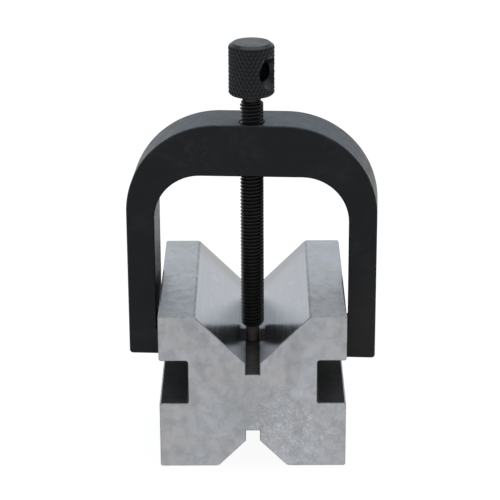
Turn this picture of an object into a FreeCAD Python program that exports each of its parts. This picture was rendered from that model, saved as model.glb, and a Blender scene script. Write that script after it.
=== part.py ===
"""V block with its clamp: a double-sided V block, a stirrup-shaped clamp frame that hooks into
the block's side slots, and the knurled screw that presses down through the frame.

Frame: +X to the right, +Y away from the front face along the grooves, +Z up.
The origin is on the base of the block, at its centre. Sizes are in millimetres.
"""
import FreeCAD, Part
import math
import os

from FreeCAD import Vector

# ---- block: overall size
block_width = 63.0          # across the grooves, X
block_length = 73.0         # along the grooves, Y
block_height = 55.0         # Z
edge_break = 0.5            # ground break on the long outer edges
end_break = 0.3             # break round both end faces

# ---- block: 90 degree grooves, each with a relief slot in its root
groove_angle = 90.0         # between the two flanks
upper_groove_width = 38.6   # across its mouth in the top face
lower_groove_width = 23.5   # across its mouth in the base
relief_width = 4.8          # both relief slots
upper_relief_depth = 21.0   # from the top face to the slot's floor
lower_relief_depth = 13.2   # from the base to the slot's roof

# ---- block: side slots that the clamp hooks into
side_slot_depth = 9.7       # in from each side
side_slot_height = 15.5
side_slot_floor = 23.5      # above the base
slot_corner_radius = 0.8    # in the two inner corners of a side slot

# ---- clamp frame: a flat plate cut to a stirrup, with a hook at each foot
frame_side_gap = 1.6        # between a leg and the side of the block
frame_leg_width = 9.6       # X
frame_thickness = 18.4      # Y
frame_bar_height = 17.9     # Z, at the screw
frame_throat = 40.5         # from the top of the block up to the underside of the bar
frame_outer_radius = 31.4   # shoulder of the arch
frame_inner_radius = 15.8
hook_height = 9.0           # Z, thickness of a hook
hook_end_gap = 2.2          # between a hook and the inner wall of the side slot
hook_root_radius = 1.0      # where a hook meets its leg
foot_radius = 1.2           # outer corner of a foot
frame_edge_break = 0.35
frame_station = -2.1        # centre of the plate along the block
frame_twist = 3.5           # degrees that the loose frame is turned in its slots

# ---- clamp screw: M8 with a dog point and a knurled head
thread_size = 8.0           # nominal size, M8
thread_pitch = 1.25
thread_allowance = 0.10     # how much the crests are under the nominal size
thread_clearance = 0.05     # radial, between the screw and the tapped hole
screw_offset = 4.2          # from the centre of the plate towards its front face
point_clearance = 0.10      # radial, between the dog point and the relief slot
point_length = 6.0
point_chamfer = 0.4
neck_diameter = 6.4         # plain neck under the head
neck_length = 2.4
hole_chamfer = 0.6          # at both ends of the tapped hole

head_diameter = 15.5
head_length = 17.6
head_gap = 9.9              # from the bar up to the underside of the head
head_top_diameter = 12.4    # flat that the top chamfer leaves
head_top_chamfer = 1.1      # its height
head_foot_chamfer = 0.6
cross_hole_diameter = 6.5   # for a tommy bar
cross_hole_mouth = 8.9      # across its countersinks
cross_hole_turn = 55.0      # degrees from the front, to the right
cross_hole_rise = 8.2       # of its axis above the underside of the head

# ---- heights and places that follow from the sizes above
half_width = block_width / 2
half_relief = relief_width / 2
flank_slope = 1 / math.tan(math.radians(groove_angle / 2))     # fall per unit across
relief_floor = block_height - upper_relief_depth
side_slot_roof = side_slot_floor + side_slot_height
bar_underside = block_height + frame_throat
bar_top = bar_underside + frame_bar_height
frame_inner_half = half_width + frame_side_gap
frame_outer_half = frame_inner_half + frame_leg_width
foot_level = side_slot_roof - hook_height
hook_tip = half_width - side_slot_depth + hook_end_gap
crest_radius = (thread_size - thread_allowance) / 2
tapped_radius = crest_radius + thread_clearance
root_radius = crest_radius - 0.6134 * thread_pitch              # ISO external thread depth
point_radius = half_relief - point_clearance
head_base = bar_top + head_gap
head_top = head_base + head_length


def at(x, z):
    """A point of a section in the XZ plane."""
    return Vector(x, 0, z)


def mirrored(points):
    """The points of a left half, then the same points on the right in reverse order."""
    return points + [Vector(-p.x, p.y, p.z) for p in reversed(points)]


def prism(points, length):
    """Extrude a closed XZ outline to a length centred on Y = 0."""
    outline = Part.makePolygon(points + [points[0]])
    solid = Part.Face(outline).extrude(Vector(0, length, 0))
    solid.translate(Vector(0, -length / 2, 0))
    return solid


def runs_along_y(edge):
    first, last = edge.Vertexes[0].Point, edge.Vertexes[-1].Point
    return abs(first.x - last.x) < 1e-6 and abs(first.z - last.z) < 1e-6


def long_edges_at(solid, corners):
    """The edges along Y that pass through any of the given XZ corners, on either side."""
    found = []
    for edge in solid.Edges:
        if not runs_along_y(edge):
            continue
        point = edge.Vertexes[0].Point
        if any(math.hypot(abs(point.x) - abs(c.x), point.z - c.z) < 1e-6 for c in corners):
            found.append(edge)
    return found


def end_face_edges(solid, y):
    """Every edge that lies in the plane at this Y."""
    return [e for e in solid.Edges if all(abs(v.Point.y - y) < 1e-6 for v in e.Vertexes)]


def make_v_block():
    """Hardened and ground block: a wide V above, a narrow V below and a slot in each side."""
    slot_wall = half_width - side_slot_depth
    upper_mouth = at(-upper_groove_width / 2, block_height)
    upper_root = at(-half_relief, block_height - (upper_groove_width / 2 - half_relief) * flank_slope)
    lower_mouth = at(-lower_groove_width / 2, 0)
    lower_root = at(-half_relief, (lower_groove_width / 2 - half_relief) * flank_slope)
    top_corner = at(-half_width, block_height)
    base_corner = at(-half_width, 0)
    roof_mouth = at(-half_width, side_slot_roof)
    floor_mouth = at(-half_width, side_slot_floor)
    left_half = [
        at(-half_relief, relief_floor), upper_root, upper_mouth, top_corner,
        roof_mouth, at(-slot_wall, side_slot_roof), at(-slot_wall, side_slot_floor), floor_mouth,
        base_corner, lower_mouth, lower_root, at(-half_relief, lower_relief_depth),
    ]
    block = prism(mirrored(left_half), block_length)

    slot_corners = [at(slot_wall, side_slot_roof), at(slot_wall, side_slot_floor)]
    block = block.makeFillet(slot_corner_radius, long_edges_at(block, slot_corners))
    ground_corners = [upper_mouth, top_corner, roof_mouth, floor_mouth, base_corner, lower_mouth]
    block = block.makeChamfer(edge_break, long_edges_at(block, ground_corners))
    for end in (-block_length / 2, block_length / 2):
        block = block.makeChamfer(end_break, end_face_edges(block, end))
    return block


def quarter_arc(start, corner, end):
    """A quarter circle from start to end that rounds off the square corner between them."""
    centre = start + end - corner
    middle = centre + (corner - centre) * (1 / math.sqrt(2))
    return Part.Arc(start, middle, end).toShape()


def rounded_outline(corners):
    """Closed wire through square corners, each given as (point, radius); radius 0 is sharp."""
    count = len(corners)
    edges = []
    leave = []
    arrive = []
    for i, (point, radius) in enumerate(corners):
        before = (corners[i - 1][0] - point).normalize()
        after = (corners[(i + 1) % count][0] - point).normalize()
        arrive.append(point + before * radius)
        leave.append(point + after * radius)
    for i, (point, radius) in enumerate(corners):
        if radius > 0:
            edges.append(quarter_arc(arrive[i], point, leave[i]))
        following = arrive[(i + 1) % count]
        if (following - leave[i]).Length > 1e-6:
            edges.append(Part.makeLine(leave[i], following))
    return Part.Wire(edges)


def place_on_block(shape):
    """Turn a piece about the screw's axis with the loose frame, and move it to its station."""
    shape.rotate(Vector(0, -screw_offset, 0), Vector(0, 0, 1), -frame_twist)
    shape.translate(Vector(0, frame_station, 0))
    return shape


def tapped_hole():
    """Cutter for the tapped hole, with a countersink at each end."""
    reach = 1.0
    sink = hole_chamfer + reach
    hole = Part.makeCylinder(tapped_radius, frame_bar_height + 2 * reach, at(0, bar_underside - reach))
    top = Part.makeCone(tapped_radius, tapped_radius + sink, sink, at(0, bar_top - hole_chamfer))
    bottom = Part.makeCone(tapped_radius + sink, tapped_radius, sink, at(0, bar_underside - reach))
    cutter = hole.fuse([top, bottom])
    cutter.translate(Vector(0, -screw_offset, 0))
    return cutter


def make_clamp_frame():
    """Stirrup cut from plate: an arch over the groove, two legs and a hook at each foot."""
    left_half = [
        (at(-hook_tip, side_slot_roof), 0.0),
        (at(-hook_tip, foot_level), 0.0),
        (at(-frame_outer_half, foot_level), foot_radius),
        (at(-frame_outer_half, bar_top), frame_outer_radius),
    ]
    right_half = [(Vector(-p.x, p.y, p.z), r) for p, r in reversed(left_half)]
    throat = [
        (at(frame_inner_half, side_slot_roof), hook_root_radius),
        (at(frame_inner_half, bar_underside), frame_inner_radius),
        (at(-frame_inner_half, bar_underside), frame_inner_radius),
        (at(-frame_inner_half, side_slot_roof), hook_root_radius),
    ]
    outline = rounded_outline(left_half + right_half + throat)
    frame = Part.Face(outline).extrude(Vector(0, frame_thickness, 0))
    frame.translate(Vector(0, -frame_thickness / 2, 0))
    for side in (-frame_thickness / 2, frame_thickness / 2):
        frame = frame.makeChamfer(frame_edge_break, end_face_edges(frame, side))
    return place_on_block(frame.cut(tapped_hole()))


def cross_hole():
    """Cutter for the tommy-bar hole through the head, countersunk at both mouths."""
    radius = cross_hole_diameter / 2
    mouth = cross_hole_mouth / 2
    sink = mouth - radius
    half_head = head_diameter / 2
    seat = math.sqrt(half_head ** 2 - mouth ** 2) - sink        # where the countersinks begin
    flare = half_head + 1 - seat
    cutter = Part.makeCylinder(radius, 2 * (half_head + 1), Vector(0, -half_head - 1, 0), Vector(0, 1, 0))
    for direction in (-1, 1):
        cone = Part.makeCone(
            radius, radius + flare, flare, Vector(0, direction * seat, 0), Vector(0, direction, 0))
        cutter = cutter.fuse(cone)
    cutter.rotate(Vector(0, 0, 0), Vector(0, 0, 1), cross_hole_turn)
    cutter.translate(at(0, head_base + cross_hole_rise))
    return cutter


def make_clamp_screw():
    """Turned screw: dog point, thread at its crest size, plain neck and cylindrical head."""
    thread_start = relief_floor + point_length
    lead = crest_radius - root_radius
    head_radius = head_diameter / 2
    half_section = [
        at(0, relief_floor),
        at(point_radius - point_chamfer, relief_floor),
        at(point_radius, relief_floor + point_chamfer),
        at(point_radius, thread_start),
        at(root_radius, thread_start),
        at(crest_radius, thread_start + lead),
        at(crest_radius, head_base - neck_length - lead),
        at(neck_diameter / 2, head_base - neck_length),
        at(neck_diameter / 2, head_base),
        at(head_radius - head_foot_chamfer, head_base),
        at(head_radius, head_base + head_foot_chamfer),
        at(head_radius, head_top - head_top_chamfer),
        at(head_top_diameter / 2, head_top),
        at(0, head_top),
    ]
    section = Part.Face(Part.makePolygon(half_section + [half_section[0]]))
    screw = section.revolve(Vector(0, 0, 0), Vector(0, 0, 1), 360)
    screw = screw.cut(cross_hole())
    screw.translate(Vector(0, frame_station - screw_offset, 0))
    return screw


pieces = {
    "v_block": make_v_block(),
    "clamp_frame": make_clamp_frame(),
    "clamp_screw": make_clamp_screw(),
}
os.makedirs("parts", exist_ok=True)
for name, shape in pieces.items():
    solid = shape.Solids[0] if len(shape.Solids) == 1 else shape
    print(name, "valid", solid.isValid(), "solids", len(shape.Solids), "volume", round(solid.Volume, 1))
    solid.exportStep(f"parts/{name}.step")
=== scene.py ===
import math

import bmesh
import bpy
from mathutils import Matrix, Vector


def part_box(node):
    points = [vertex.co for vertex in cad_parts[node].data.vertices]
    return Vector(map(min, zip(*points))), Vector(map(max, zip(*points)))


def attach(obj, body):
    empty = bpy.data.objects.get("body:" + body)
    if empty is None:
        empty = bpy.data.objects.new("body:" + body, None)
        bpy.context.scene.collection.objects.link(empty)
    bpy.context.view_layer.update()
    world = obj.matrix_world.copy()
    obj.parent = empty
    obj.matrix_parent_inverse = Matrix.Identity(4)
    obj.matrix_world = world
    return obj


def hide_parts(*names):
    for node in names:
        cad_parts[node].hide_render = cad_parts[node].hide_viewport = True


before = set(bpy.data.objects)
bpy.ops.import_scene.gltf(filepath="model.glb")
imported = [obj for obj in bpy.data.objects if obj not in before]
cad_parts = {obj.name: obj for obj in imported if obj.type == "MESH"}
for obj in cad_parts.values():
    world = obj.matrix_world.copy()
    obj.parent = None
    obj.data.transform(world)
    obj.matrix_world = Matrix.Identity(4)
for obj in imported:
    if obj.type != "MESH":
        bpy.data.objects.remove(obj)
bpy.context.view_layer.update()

MM = 0.001
screw_low, screw_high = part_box("clamp_screw")

# ------------------------------------------------------------------ the screw's sizes, in millimetres
SCREW_X = (screw_low.x + screw_high.x) / 2 / MM
SCREW_Y = (screw_low.y + screw_high.y) / 2 / MM
POINT_Z = screw_low.z / MM
HEAD_TOP = screw_high.z / MM
HEAD_R = (screw_high.x - screw_low.x) / 2 / MM

PITCH = 1.25
CREST_R = 3.95
ROOT_R = CREST_R - 0.6134 * PITCH
POINT_R = 2.3
POINT_CHAMFER = 0.4
THREAD_Z = POINT_Z + 6.0
NECK_R = 3.2
NECK_LENGTH = 2.4
HEAD_LENGTH = 17.6
HEAD_Z = HEAD_TOP - HEAD_LENGTH
HEAD_FOOT_CHAMFER = 0.6
HEAD_TOP_CHAMFER = 1.1
HEAD_TOP_R = 6.2
HOLE_R = 3.25
HOLE_MOUTH_R = 4.45
HOLE_Z = HEAD_TOP - 9.4
HOLE_TURN = math.radians(55.0)

KNURLS = 30
KNURL_HEIGHT = 2.7
KNURL_DEPTH = 0.34

# ------------------------------------------------------------------ where the block's faces lie, in millimetres
END_INSIDE = 36.46
FLANK_REACH = 20.5
SIDE_SLOT_Z = (23.45, 39.05)
SIDE_SLOT_X = (21.0, 31.44)
RELIEF_HALF = 2.43
UPPER_RELIEF_Z = (33.9, 38.05)
LOWER_RELIEF_Z = (9.4, 13.3)


# ------------------------------------------------------------------ meshes
def new_object(name, verts, faces, material, smooth=True):
    """A mesh object from points in millimetres."""
    mesh = bpy.data.meshes.new(name)
    mesh.from_pydata([Vector(v) * MM for v in verts], [], faces)
    mesh.update()
    obj = bpy.data.objects.new(name, mesh)
    bpy.context.scene.collection.objects.link(obj)
    if material:
        mesh.materials.append(material)
    for polygon in mesh.polygons:
        polygon.use_smooth = smooth
    return obj


def clean(obj, merge=0.004):
    """Merges doubles, drops faces of no size and turns the normals outwards."""
    bm = bmesh.new()
    bm.from_mesh(obj.data)
    bmesh.ops.remove_doubles(bm, verts=bm.verts, dist=merge * MM)
    bmesh.ops.dissolve_degenerate(bm, edges=bm.edges, dist=merge * MM)
    bmesh.ops.recalc_face_normals(bm, faces=bm.faces)
    bm.to_mesh(obj.data)
    bm.free()


def sharpen(obj, degrees):
    """Smooth shading, with the edges that turn by more than this kept sharp."""
    bm = bmesh.new()
    bm.from_mesh(obj.data)
    for edge in bm.edges:
        if len(edge.link_faces) == 2:
            edge.smooth = edge.calc_face_angle(0.0) < math.radians(degrees)
    for face in bm.faces:
        face.smooth = True
    bm.to_mesh(obj.data)
    bm.free()


def ring_faces(rows, columns):
    """Faces between rings of vertex numbers; a ring that lies on the axis repeats one number."""
    faces = []
    for below, above in zip(rows, rows[1:]):
        for i in range(columns):
            j = (i + 1) % columns
            face = [below[i], below[j], above[j], above[i]]
            face = [v for k, v in enumerate(face) if v not in face[:k]]
            if len(face) > 2:
                faces.append(face)
    return faces


def lathe(name, profile, material, columns=96):
    """A closed turned solid about the screw's axis from (radius, height) points, first and last on the axis."""
    verts, rows = [], []
    for radius, z in profile:
        if radius == 0:
            rows.append([len(verts)] * columns)
            verts.append((SCREW_X, SCREW_Y, z))
            continue
        rows.append(list(range(len(verts), len(verts) + columns)))
        for i in range(columns):
            turn = 2 * math.pi * i / columns
            verts.append((SCREW_X + radius * math.cos(turn), SCREW_Y + radius * math.sin(turn), z))
    obj = new_object(name, verts, ring_faces(rows, columns), material)
    clean(obj)
    return obj


def thread_profile(phase):
    """The rod's radius at a share of one pitch: flat crest, 60 degree flank, rounded root."""
    phase = abs((phase % 1.0) - 0.5) * 2  # 0 at the root's middle, 1 at the crest's middle
    root_flat, crest_flat = 0.14, 0.82
    share = min(max((phase - root_flat) / (crest_flat - root_flat), 0.0), 1.0)
    return ROOT_R + (CREST_R - ROOT_R) * share


def threaded_rod(name, low, high, material, columns=72):
    """A right-hand thread on one helical grid, chamfered at both ends and closed by flat caps."""
    phases = [0.0, 0.09, 0.22, 0.36, 0.41, 0.5, 0.59, 0.64, 0.78, 0.91]
    turns = math.ceil((high - low) / PITCH) + 1
    first = math.floor(low / PITCH) - 1
    total = (turns + 2) * len(phases)
    verts, faces = [], []

    def point(column, row):
        turn = column / columns
        z = PITCH * (first + row // len(phases) + phases[row % len(phases)] + turn)
        z = min(max(z, low), high)
        radius = thread_profile(z / PITCH - turn)
        radius = min(radius, ROOT_R - 0.05 + (z - low), ROOT_R - 0.05 + (high - z))
        angle = 2 * math.pi * turn
        return (SCREW_X + radius * math.cos(angle), SCREW_Y + radius * math.sin(angle), z)

    for column in range(columns):
        verts += [point(column, row) for row in range(total)]
    for column in range(columns):
        for row in range(total - 1):
            here = column * total + row
            if column < columns - 1:
                there = here + total
            else:
                there = row - len(phases)
                if there < 0:
                    continue
            faces.append((here, there, there + 1, here + 1))
    obj = new_object(name, verts, faces, material)
    bm = bmesh.new()
    bm.from_mesh(obj.data)
    bmesh.ops.remove_doubles(bm, verts=bm.verts, dist=0.002 * MM)
    bmesh.ops.dissolve_degenerate(bm, edges=bm.edges, dist=0.002 * MM)
    bmesh.ops.holes_fill(bm, edges=[e for e in bm.edges if e.is_boundary], sides=0)
    bmesh.ops.recalc_face_normals(bm, faces=bm.faces)
    bm.to_mesh(obj.data)
    bm.free()
    return obj


def knurl(turn, z):
    """How deep the two crossing families of grooves go at a share of one turn and a height."""
    depth = 0.0
    for hand in (1, -1):
        phase = KNURLS * turn + hand * z / KNURL_HEIGHT
        depth = max(depth, abs((phase % 1.0) - 0.5) * 2)
    return KNURL_DEPTH * max(depth - 0.12, 0.0) / 0.88


def knurled_head(name, material):
    """The cylindrical head: diamond knurl between the foot's and the top's chamfers."""
    columns = KNURLS * 8
    step = KNURL_HEIGHT / 8
    heights = [HEAD_Z]
    z = math.ceil(HEAD_Z / step) * step
    while z < HEAD_TOP - 0.02:
        if z > HEAD_Z + 0.02:
            heights.append(z)
        z += step
    heights.append(HEAD_TOP)
    foot_r = HEAD_R - HEAD_FOOT_CHAMFER

    def radius(turn, z):
        top_slope = (HEAD_R - HEAD_TOP_R) / HEAD_TOP_CHAMFER
        return min(
            HEAD_R - knurl(turn, z),
            foot_r + (z - HEAD_Z),
            HEAD_TOP_R + (HEAD_TOP - z) * top_slope,
        )

    verts = [(SCREW_X, SCREW_Y, HEAD_Z)]
    rows = []
    for z in heights:
        rows.append(len(verts))
        for i in range(columns):
            turn = i / columns
            r = radius(turn, z)
            angle = 2 * math.pi * turn
            verts.append((SCREW_X + r * math.cos(angle), SCREW_Y + r * math.sin(angle), z))
    verts.append((SCREW_X, SCREW_Y, HEAD_TOP))
    faces = []
    for i in range(columns):
        j = (i + 1) % columns
        faces.append((0, rows[0] + j, rows[0] + i))
        faces.append((len(verts) - 1, rows[-1] + i, rows[-1] + j))
        for k in range(len(rows) - 1):
            a, b = rows[k] + i, rows[k] + j
            c, d = rows[k + 1] + j, rows[k + 1] + i
            # the diagonal follows whichever family of grooves is deeper here
            middle = ((i + 0.5) / columns, (heights[k] + heights[k + 1]) / 2)
            plus = (KNURLS * middle[0] + middle[1] / KNURL_HEIGHT) % 1.0
            minus = (KNURLS * middle[0] - middle[1] / KNURL_HEIGHT) % 1.0
            if abs(plus - 0.5) > abs(minus - 0.5):
                faces += [(a, b, d), (b, c, d)]
            else:
                faces += [(a, b, c), (a, c, d)]
    return new_object(name, verts, faces, material)


def hole_cutter():
    """The tommy bar's cross hole with its two countersunk mouths."""
    reach = HEAD_R + 0.6
    sink = HOLE_MOUTH_R - HOLE_R
    surface = math.sqrt(HEAD_R**2 - HOLE_MOUTH_R**2)
    wide = HOLE_MOUTH_R + (reach - surface)
    profile = [
        (0, -reach), (wide, -reach), (HOLE_R, -(surface - sink)),
        (HOLE_R, surface - sink), (wide, reach), (0, reach),
    ]
    columns = 96
    verts, rows = [], []
    axis = Vector((math.sin(HOLE_TURN), -math.cos(HOLE_TURN), 0))
    side = Vector((-axis.y, axis.x, 0))
    centre = Vector((SCREW_X, SCREW_Y, HOLE_Z))
    for radius, along in profile:
        if radius == 0:
            rows.append([len(verts)] * columns)
            verts.append(centre + axis * along)
            continue
        rows.append(list(range(len(verts), len(verts) + columns)))
        for i in range(columns):
            angle = 2 * math.pi * i / columns
            outwards = side * math.cos(angle) + Vector((0, 0, math.sin(angle)))
            verts.append(centre + axis * along + radius * outwards)
    obj = new_object("hole_cutter", verts, ring_faces(rows, columns), None)
    clean(obj)
    return obj


def cut(obj, cutter):
    """obj less the cutter, as a final mesh."""
    modifier = obj.modifiers.new("cut", "BOOLEAN")
    modifier.operation = "DIFFERENCE"
    modifier.solver = "EXACT"
    modifier.object = cutter
    bpy.context.view_layer.update()
    shape = bpy.data.meshes.new_from_object(obj.evaluated_get(bpy.context.evaluated_depsgraph_get()))
    obj.modifiers.clear()
    old = obj.data
    obj.data = shape
    bpy.data.meshes.remove(old)
    bpy.data.objects.remove(cutter)


# ------------------------------------------------------------------ materials
class Shading:
    """One material's node tree, with short names for the nodes that it needs."""

    def __init__(self, name):
        self.material = bpy.data.materials.new(name)
        self.material.use_nodes = True
        self.nodes = self.material.node_tree.nodes
        self.links = self.material.node_tree.links
        self.shader = self.nodes["Principled BSDF"]
        coordinates = self.nodes.new("ShaderNodeTexCoord")
        self.place = coordinates.outputs["Object"]
        self.normal = coordinates.outputs["Normal"]

    def feed(self, socket, value):
        if isinstance(value, bpy.types.NodeSocket):
            self.links.new(value, socket)
        else:
            socket.default_value = value

    def math(self, operation, *values, clamp=False):
        node = self.nodes.new("ShaderNodeMath")
        node.operation = operation
        node.use_clamp = clamp
        for socket, value in zip(node.inputs, values):
            self.feed(socket, value)
        return node.outputs[0]

    def split(self, vector):
        node = self.nodes.new("ShaderNodeSeparateXYZ")
        self.feed(node.inputs[0], vector)
        return node.outputs

    def stretched(self, scale, turn=(0, 0, 0)):
        node = self.nodes.new("ShaderNodeMapping")
        self.feed(node.inputs["Vector"], self.place)
        node.inputs["Scale"].default_value = scale
        node.inputs["Rotation"].default_value = turn
        return node.outputs[0]

    def noise(self, size_mm, detail=3.0, rough=0.55, warp=0.0, vector=None):
        """Soft noise, 0 to 1, whose features are about size_mm across."""
        node = self.nodes.new("ShaderNodeTexNoise")
        self.feed(node.inputs["Vector"], vector or self.place)
        node.inputs["Scale"].default_value = 1.0 / (size_mm * MM)
        node.inputs["Detail"].default_value = detail
        node.inputs["Roughness"].default_value = rough
        node.inputs["Distortion"].default_value = warp
        return node.outputs["Fac"]

    def remap(self, value, low, high, to_low=0.0, to_high=1.0):
        node = self.nodes.new("ShaderNodeMapRange")
        node.interpolation_type = "SMOOTHSTEP"
        for name, given in (
            ("Value", value), ("From Min", low), ("From Max", high), ("To Min", to_low), ("To Max", to_high)
        ):
            self.feed(node.inputs[name], given)
        return node.outputs[0]

    def mix(self, share, first, second, blend="MIX"):
        node = self.nodes.new("ShaderNodeMix")
        node.data_type = "RGBA"
        node.blend_type = blend
        self.feed(node.inputs["Factor"], share)
        for name, value in (("A", first), ("B", second)):
            socket = [s for s in node.inputs if s.name == name and s.type == "RGBA"][0]
            self.feed(socket, value)
        return [s for s in node.outputs if s.type == "RGBA"][0]

    def level(self, share, first, second):
        """A number that goes from first to second as share goes from 0 to 1."""
        return self.math("ADD", self.math("MULTIPLY", self.math("SUBTRACT", 1.0, share), first),
                         self.math("MULTIPLY", share, second))

    def bump(self, height, depth_mm, strength=1.0, before=None):
        node = self.nodes.new("ShaderNodeBump")
        self.feed(node.inputs["Height"], height)
        node.inputs["Distance"].default_value = depth_mm * MM
        node.inputs["Strength"].default_value = strength
        if before is not None:
            self.feed(node.inputs["Normal"], before)
        return node.outputs[0]

    def near(self, centre_mm, radius_mm):
        """1 at a place, falling to 0 at this distance from it."""
        node = self.nodes.new("ShaderNodeVectorMath")
        node.operation = "DISTANCE"
        self.feed(node.inputs[0], self.place)
        node.inputs[1].default_value = Vector(centre_mm) * MM
        return self.remap(node.outputs["Value"], radius_mm * MM, radius_mm * MM * 0.25)

    def between(self, value, low_mm, high_mm):
        """1 where a coordinate lies between two values, else 0."""
        above = self.math("GREATER_THAN", value, low_mm * MM)
        below = self.math("LESS_THAN", value, high_mm * MM)
        return self.math("MULTIPLY", above, below)


def grey(value, red=0.0, blue=0.0):
    """A colour from its 0-255 display value, with a little red or blue added."""
    parts = [(value + red) / 255, value / 255, (value + blue) / 255]
    linear = [p / 12.92 if p <= 0.04045 else ((p + 0.055) / 1.055) ** 2.4 for p in parts]
    return (*linear, 1.0)


def ground_steel():
    """Ground block steel: mottled ends, grainy lands, fine bright V flanks, and slots and reliefs painted
    near-black as painted shade.
    """
    m = Shading("ground_steel_surface")
    x, y, z = m.split(m.place)
    nx, ny, nz = m.split(m.normal)
    across = m.math("ABSOLUTE", x)
    inside = m.math("LESS_THAN", m.math("ABSOLUTE", y), END_INSIDE * MM)
    # the V flanks are the only broad faces that lean; the outer edges' chamfers lie further out
    leaning = m.math("MULTIPLY", m.math("ABSOLUTE", nx), m.math("ABSOLUTE", nz))
    flank = m.math("MULTIPLY", m.math("GREATER_THAN", leaning, 0.4), m.math("LESS_THAN", across, FLANK_REACH * MM))
    end_face = m.math("GREATER_THAN", m.math("ABSOLUTE", ny), 0.9)
    level_face = m.math("GREATER_THAN", m.math("ABSOLUTE", nz), 0.97)
    # the broken edges: round the ends, and where the lands meet the flanks
    end_edge = m.math("MULTIPLY", m.math("GREATER_THAN", m.math("ABSOLUTE", ny), 0.4),
                      m.math("LESS_THAN", m.math("ABSOLUTE", ny), 0.9))
    mouth_edge = m.math("MULTIPLY", m.math("GREATER_THAN", leaning, 0.2), m.math("LESS_THAN", leaning, 0.4))

    side_slot = m.math("MULTIPLY", m.between(z, *SIDE_SLOT_Z), m.between(across, *SIDE_SLOT_X))
    relief = m.math("MULTIPLY", m.math("LESS_THAN", across, RELIEF_HALF * MM),
                    m.math("MAXIMUM", m.between(z, *UPPER_RELIEF_Z), m.between(z, *LOWER_RELIEF_Z)))
    # the insides of the side slots and reliefs are painted near-black and dull: painted shade for the little light
    # that reaches into them
    slot_shade_mask = m.math("MULTIPLY", m.math("MAXIMUM", side_slot, relief), inside)

    cloud = m.noise(15.0, detail=3.0, warp=0.5)
    blotch = m.noise(3.6, detail=5.0, rough=0.62, warp=0.5)
    grain = m.noise(0.6, detail=3.0, rough=0.7)
    squiggle = m.noise(1.5, detail=2.0, rough=0.6, warp=1.6)
    smear = m.noise(6.0, detail=3.0, warp=0.3, vector=m.stretched((1.0, 1.0, 0.35), (0, 0.7, 0)))

    base = m.mix(m.remap(cloud, 0.3, 0.7), grey(171, -1, 2), grey(180, -3, 6))
    warm = m.math("MULTIPLY", m.remap(m.noise(11.0, detail=2.0), 0.45, 0.65), end_face)
    base = m.mix(m.math("MULTIPLY", warm, 0.6), base, grey(173, 3, 0))
    base = m.mix(m.remap(blotch, 0.4, 0.72, 0.0, 0.45), base, grey(158, -3, 4))
    base = m.mix(m.math("MULTIPLY", m.remap(smear, 0.48, 0.75, 0.0, 0.5), end_face), base, grey(148, 0, 3))
    base = m.mix(m.math("MULTIPLY", m.near((1.5, -36.5, 19.0), 15.0), 0.5), base, grey(152, -3, 4))
    # the lands are coarser: dark pin marks between bright grains
    land_grain = m.math("MULTIPLY", level_face, m.remap(squiggle, 0.5, 0.72, 0.0, 0.55))
    base = m.mix(land_grain, base, grey(150, -6, 5))
    base = m.mix(m.remap(grain, 0.5, 0.8, 0.0, 0.4), base, grey(196, -3, 4))
    speck_area = m.math("MULTIPLY", m.near((13.0, -36.5, 12.0), 25.0), end_face)
    speck = m.math("MULTIPLY", m.remap(squiggle, 0.52, 0.62), speck_area)
    base = m.mix(m.math("MULTIPLY", speck, 0.55), base, grey(204, -2, 3))
    edge = m.math("MULTIPLY", m.math("MAXIMUM", end_edge, mouth_edge), m.remap(blotch, 0.3, 0.6, 0.2, 0.6))
    base = m.mix(edge, base, grey(140, -3, 3))
    # painted shade colour for the slot and relief insides
    slot_shade_colour = m.mix(m.remap(blotch, 0.3, 0.7), grey(33, 0, 1), grey(50, 1, 2))
    base = m.mix(slot_shade_mask, base, slot_shade_colour)

    m.feed(m.shader.inputs["Base Color"], base)
    m.feed(m.shader.inputs["Roughness"], m.level(slot_shade_mask, m.remap(blotch, 0.3, 0.7, 0.42, 0.56), 0.7))
    m.feed(m.shader.inputs["Metallic"], m.level(slot_shade_mask, 1.0, 0.0))
    height = m.math("ADD", grain, m.math("MULTIPLY", blotch, 1.5))
    m.feed(m.shader.inputs["Normal"], m.bump(height, 0.02, 0.5))

    # the flanks are ground along the groove: sharp along it, drawn out across it
    streaks = m.noise(1.2, detail=4.0, rough=0.6, vector=m.stretched((1.5, 0.03, 1.5)))
    scratch = m.noise(2.5, detail=3.0, rough=0.5, warp=1.2, vector=m.stretched((1.0, 0.5, 1.0), (0, 0, 0.6)))
    bright = m.mix(m.remap(streaks, 0.3, 0.7), grey(167, -3, 5), grey(176, -3, 6))
    bright = m.mix(m.remap(cloud, 0.45, 0.75, 0.0, 0.5), bright, grey(168, -1, 4))
    bright = m.mix(m.remap(scratch, 0.62, 0.7, 0.0, 0.25), bright, grey(205, 0, 3))
    back_end = m.remap(m.math("ADD", y, m.math("MULTIPLY", cloud, 0.006)), 0.024, 0.0345, 0.0, 0.6)
    bright = m.mix(back_end, bright, grey(140, 5, -3))
    fine = m.nodes.new("ShaderNodeBsdfPrincipled")
    m.feed(fine.inputs["Base Color"], bright)
    fine.inputs["Metallic"].default_value = 1.0
    fine.inputs["Anisotropic"].default_value = 1.0
    m.feed(fine.inputs["Roughness"], m.remap(streaks, 0.3, 0.7, 0.2, 0.25))
    sideways = m.nodes.new("ShaderNodeVectorMath")
    sideways.operation = "CROSS_PRODUCT"
    m.feed(sideways.inputs[0], m.normal)
    sideways.inputs[1].default_value = (0, 1, 0)
    m.links.new(sideways.outputs[0], fine.inputs["Tangent"])
    m.feed(fine.inputs["Normal"], m.bump(streaks, 0.004, 0.3))
    mixer = m.nodes.new("ShaderNodeMixShader")
    m.feed(mixer.inputs[0], flank)
    m.links.new(m.shader.outputs[0], mixer.inputs[1])
    m.links.new(fine.outputs[0], mixer.inputs[2])
    m.links.new(mixer.outputs[0], m.nodes["Material Output"].inputs["Surface"])
    return m.material


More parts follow.
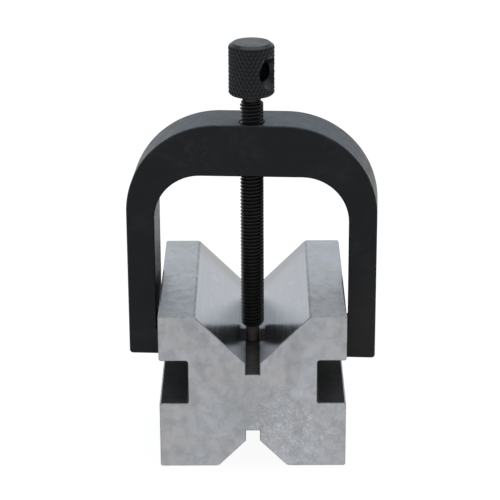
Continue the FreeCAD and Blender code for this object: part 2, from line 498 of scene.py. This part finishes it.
def black_frame():
    """Blackened flat steel plate, satin, with brown patches and scuffed edges, a painted highlight on the
    up-facing faces and painted reflections on the edge chamfers.
    """
    m = Shading("black_frame_surface")
    x, y, z = m.split(m.place)
    nx, ny, nz = m.split(m.normal)
    cloud = m.noise(16.0, detail=3.0, warp=0.8)
    blotch = m.noise(3.0, detail=5.0, rough=0.65)
    grain = m.noise(0.3, detail=2.0, rough=0.7)
    scratch = m.noise(1.0, detail=3.0, rough=0.6, vector=m.stretched((0.05, 1.2, 1.2), (0, 0.5, 0.1)))

    colour = m.mix(m.remap(cloud, 0.3, 0.7), grey(12, -6, 4), grey(16, -6, 6))
    foot = m.remap(m.math("ADD", z, m.math("MULTIPLY", cloud, 0.02)), 0.078, 0.058)
    foot = m.math("MULTIPLY", foot, m.math("GREATER_THAN", x, 0.0))
    colour = m.mix(m.math("MULTIPLY", foot, 0.8), colour, grey(33, 2, 1))
    brown = m.remap(m.math("MULTIPLY", cloud, blotch), 0.24, 0.40, 0.0, 0.45)
    brown = m.math("MAXIMUM", brown, m.math("MULTIPLY", m.near((-20.0, -11.0, 103.0), 14.0),
                                            m.remap(blotch, 0.45, 0.65, 0.0, 0.6)))
    colour = m.mix(brown, colour, grey(40, 6, -2))
    colour = m.mix(m.remap(grain, 0.55, 0.85, 0.0, 0.25), colour, grey(48, 0, 4))
    # the upward-facing faces are painted lighter grey than the sides: a painted highlight for the light from above
    colour = m.mix(m.remap(nz, 0.25, 1.0), colour,
                   m.mix(m.remap(blotch, 0.3, 0.7), grey(62, -8, 7), grey(70, -8, 7)))
    # the broken edges along the outline are painted lighter in places: partly rubbed wear, partly a painted
    # reflection where the chamfers catch the bright surroundings
    edge = m.math("MULTIPLY", m.math("GREATER_THAN", m.math("ABSOLUTE", ny), 0.45),
                  m.math("LESS_THAN", m.math("ABSOLUTE", ny), 0.92))
    wear_and_sheen = m.math("MULTIPLY", edge, m.remap(m.noise(2.2, detail=3.0, rough=0.6), 0.56, 0.72, 0.0, 0.4))
    colour = m.mix(wear_and_sheen, colour, grey(88, -3, 5))
    scuff = m.math("MULTIPLY", m.remap(scratch, 0.66, 0.78), m.remap(blotch, 0.5, 0.7))
    colour = m.mix(m.math("MULTIPLY", scuff, 0.35), colour, grey(84, 0, 3))
    m.feed(m.shader.inputs["Base Color"], colour)
    m.shader.inputs["Specular IOR Level"].default_value = 0.2
    m.feed(m.shader.inputs["Roughness"], m.remap(blotch, 0.3, 0.7, 0.36, 0.5))
    height = m.math("ADD", m.math("MULTIPLY", blotch, 0.8), m.math("MULTIPLY", grain, 0.4))
    m.feed(m.shader.inputs["Normal"], m.bump(height, 0.03, 0.5))
    return m.material


def black_screw(name, dark_grey, light_grey, rough, metal, specular):
    """Black oxide on turned steel."""
    m = Shading(name)
    blotch = m.noise(2.0, detail=4.0, rough=0.6)
    grain = m.noise(0.25, detail=2.0, rough=0.7)
    turned = m.noise(0.5, detail=3.0, vector=m.stretched((0.1, 0.1, 2.5)))
    colour = m.mix(m.remap(blotch, 0.3, 0.7), dark_grey, light_grey)
    colour = m.mix(m.remap(grain, 0.6, 0.85, 0.0, 0.3), colour, grey(70, 2, 1))
    m.feed(m.shader.inputs["Base Color"], colour)
    m.shader.inputs["Metallic"].default_value = metal
    m.shader.inputs["Specular IOR Level"].default_value = specular
    m.feed(m.shader.inputs["Roughness"], m.remap(turned, 0.3, 0.7, rough - 0.05, rough + 0.08))
    m.feed(m.shader.inputs["Normal"], m.bump(m.math("ADD", turned, grain), 0.012, 0.4))
    return m.material


# ------------------------------------------------------------------ the object
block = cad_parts["v_block"]
block.material_slots[0].material = ground_steel()

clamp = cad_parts["clamp_frame"]
clamp.material_slots[0].material = black_frame()

thread_black = black_screw("screw_thread_surface", grey(14, 1, 0), grey(24, 2, 0), 0.36, 0.0, 0.28)
head_black = black_screw("screw_head_surface", grey(11, -7, 5), grey(17, -7, 6), 0.3, 0.0, 0.28)
point_steel = black_screw("screw_point_surface", grey(112, 6, -2), grey(130, 8, -3), 0.34, 0.3, 0.5)

thread = threaded_rod("screw_thread", THREAD_Z, HEAD_Z - NECK_LENGTH, thread_black)
sharpen(thread, 24)

point = lathe(
    "screw_point",
    [
        (0, POINT_Z),
        (POINT_R - POINT_CHAMFER, POINT_Z),
        (POINT_R, POINT_Z + POINT_CHAMFER),
        (POINT_R, THREAD_Z - 0.25),
        (POINT_R + 0.08, THREAD_Z - 0.08),
        (POINT_R + 0.25, THREAD_Z + 0.02),
        (ROOT_R - 0.1, THREAD_Z + 0.02),
        (ROOT_R - 0.4, THREAD_Z + 1.0),
        (0, THREAD_Z + 1.0),
    ],
    point_steel,
)
sharpen(point, 35)

neck = lathe(
    "screw_neck",
    [
        (0, HEAD_Z - NECK_LENGTH - 0.8),
        (NECK_R - 0.3, HEAD_Z - NECK_LENGTH - 0.8),
        (NECK_R - 0.25, HEAD_Z - NECK_LENGTH),
        (NECK_R - 0.05, HEAD_Z - NECK_LENGTH + 0.3),
        (NECK_R - 0.05, HEAD_Z - 0.5),
        (NECK_R + 0.1, HEAD_Z - 0.15),
        (NECK_R + 0.4, HEAD_Z + 0.05),
        (0, HEAD_Z + 0.05),
    ],
    thread_black,
)
sharpen(neck, 35)

head = knurled_head("screw_head", head_black)
cut(head, hole_cutter())
sharpen(head, 14)

for piece in (thread, point, neck, head):
    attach(piece, "screw")
    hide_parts("clamp_screw")


# ------------------------------------------------------------------ stage, light and camera
def floor_material():
    """White paper: a plain pale surface that still takes the object's shadow."""
    m = Shading("floor_paper")
    m.feed(m.shader.inputs["Base Color"], (0.8, 0.8, 0.8, 1.0))
    m.shader.inputs["Roughness"].default_value = 0.9
    glow = m.nodes.new("ShaderNodeEmission")
    glow.inputs["Strength"].default_value = 1.09
    path = m.nodes.new("ShaderNodeLightPath")
    seen = m.math("MAXIMUM", path.outputs["Is Camera Ray"],
                  m.math("MAXIMUM", path.outputs["Is Glossy Ray"], path.outputs["Is Transmission Ray"]))
    mixer = m.nodes.new("ShaderNodeMixShader")
    m.feed(mixer.inputs[0], m.math("MULTIPLY", seen, 0.85))
    m.links.new(m.shader.outputs[0], mixer.inputs[1])
    m.links.new(glow.outputs[0], mixer.inputs[2])
    m.links.new(mixer.outputs[0], m.nodes["Material Output"].inputs["Surface"])
    return m.material


FLOOR_HALF = 3000.0
FLOOR_BELOW = 0.02
corners = [(-1, -1), (1, -1), (1, 1), (-1, 1)]
floor = new_object(
    "floor", [(FLOOR_HALF * cx, FLOOR_HALF * cy, 0) for cx, cy in corners], [(0, 1, 2, 3)], floor_material()
)
floor.location.z = -FLOOR_BELOW * MM

world = bpy.data.worlds.new("studio")
bpy.context.scene.world = world
world.use_nodes = True
nodes, links = world.node_tree.nodes, world.node_tree.links
background = nodes["Background"]
direction = nodes.new("ShaderNodeTexCoord")
axes = nodes.new("ShaderNodeSeparateXYZ")
links.new(direction.outputs["Generated"], axes.inputs[0])
depth = nodes.new("ShaderNodeMapRange")
depth.interpolation_type = "SMOOTHSTEP"
depth.inputs["From Min"].default_value = -0.7
depth.inputs["From Max"].default_value = 0.6
depth.inputs["To Min"].default_value = 0.5
depth.inputs["To Max"].default_value = 0.91
links.new(axes.outputs["Y"], depth.inputs["Value"])
path = nodes.new("ShaderNodeLightPath")
strength = nodes.new("ShaderNodeMix")
strength.data_type = "FLOAT"
links.new(path.outputs["Is Camera Ray"], strength.inputs["Factor"])
links.new(depth.outputs[0], strength.inputs["A"])
strength.inputs["B"].default_value = 1.1
background.inputs["Color"].default_value = (0.925, 0.965, 1.0, 1.0)
links.new(strength.outputs["Result"], background.inputs["Strength"])


def soft_lamp(name, place, target, width, height, power):
    data = bpy.data.lights.new(name, "AREA")
    data.shape = "RECTANGLE"
    data.size, data.size_y, data.energy = width, height, power
    lamp = bpy.data.objects.new(name, data)
    bpy.context.scene.collection.objects.link(lamp)
    lamp.location = place
    lamp.rotation_euler = (Vector(target) - Vector(place)).to_track_quat("-Z", "Y").to_euler()
    return lamp


soft_lamp("top_light", (0.1, 0.15, 0.95), (0, 0, 0.05), 0.9, 0.7, 4.0)

CAMERA_PLACE = (0.00147, -0.6508, 0.3114)
PITCH_DOWN, YAW, ROLL = math.radians(20.74), math.radians(-0.2), math.radians(-0.29)
ENLARGED = 2.05
FOCAL_PIXELS = 978.0 * ENLARGED
forward = Vector((
    math.sin(YAW) * math.cos(PITCH_DOWN),
    math.cos(YAW) * math.cos(PITCH_DOWN),
    -math.sin(PITCH_DOWN),
))
right = Vector((math.cos(YAW), -math.sin(YAW), 0))
up = right.cross(forward)
right, up = right * math.cos(ROLL) + up * math.sin(ROLL), up * math.cos(ROLL) - right * math.sin(ROLL)
camera_data = bpy.data.cameras.new("camera")
camera_data.sensor_width = 36.0
camera_data.lens = FOCAL_PIXELS / 500.0 * camera_data.sensor_width
camera_data.clip_start, camera_data.clip_end = 0.01, 50.0
camera = bpy.data.objects.new("camera", camera_data)
bpy.context.scene.collection.objects.link(camera)
camera.matrix_world = Matrix.Translation(CAMERA_PLACE) @ Matrix((right, up, -forward)).transposed().to_4x4()
bpy.context.scene.camera = camera
bpy.context.scene.view_settings.view_transform = "Standard"
